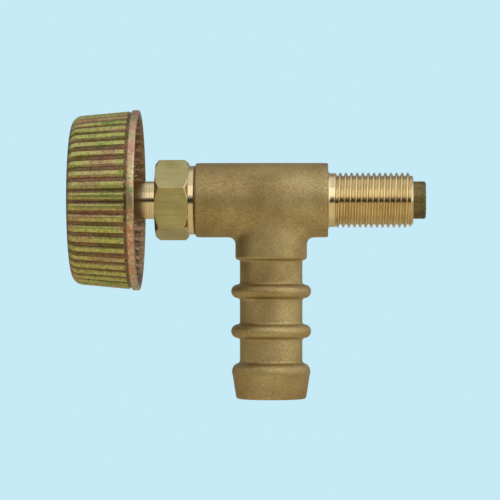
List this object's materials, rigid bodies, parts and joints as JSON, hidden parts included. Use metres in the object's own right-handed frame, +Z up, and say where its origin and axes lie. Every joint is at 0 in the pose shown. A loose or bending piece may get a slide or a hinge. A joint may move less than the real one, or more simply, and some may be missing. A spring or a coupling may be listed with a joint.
{
  "type": "angle needle valve",
  "caption": "Angle needle valve with a male threaded inlet, a beaded hose tail at a right angle and a fluted cup handwheel.",
  "frame": {"origin": "on the spindle's axis, in the plane of the inlet shoulder", "axes": "+X out through the inlet thread, -X towards the handwheel, -Z down the hose tail, +Z up"},
  "size_m": [0.0842, 0.043, 0.0688],
  "materials": {
    "forged_brass": "shot-blasted matte",
    "turned_brass": "bright turned",
    "drawn_brass": "drawn hexagon bar",
    "steel": "turned stainless",
    "yellow_zinc": "yellow zinc passivated, iridescent",
    "plated_steel": "bright zinc plated",
    "rubber": "moulded nitrile",
    "ptfe": "moulded PTFE",
    "sintered_bronze": "dark sintered grains"
  },
  "bodies": {
    "valve": {"valve_body": "forged_brass", "inlet_filter": "sintered_bronze", "seat_ring": "steel", "bonnet": "drawn_brass", "bonnet_oring": "rubber", "packing_floor_ring": "ptfe", "packing_rings": "ptfe", "packing_top_ring": "ptfe", "gland_washer": "turned_brass", "stem_oring": "rubber"},
    "needle": {"needle": "steel", "thrust_ball": "steel", "needle_clip": "steel"},
    "spindle": {"spindle": "turned_brass", "handwheel": "yellow_zinc", "wheel_washer": "plated_steel", "wheel_spring_washer": "plated_steel", "wheel_screw": "plated_steel"}
  },
  "joints": [
    {"name": "needle_lift", "type": "slide", "parent": "valve", "child": "needle", "axis": [-1, 0, 0], "range_m": [0, 0.003]},
    {"name": "spindle_turn", "type": "hinge", "parent": "needle", "child": "spindle", "pos_m": [0, 0, 0], "axis": [-1, 0, 0], "range_deg": [0, 1080]}
  ],
  "couplings": [
    {"joint": "needle_lift", "follows": "spindle_turn", "m_per_rad": 0.00015915}
  ]
}
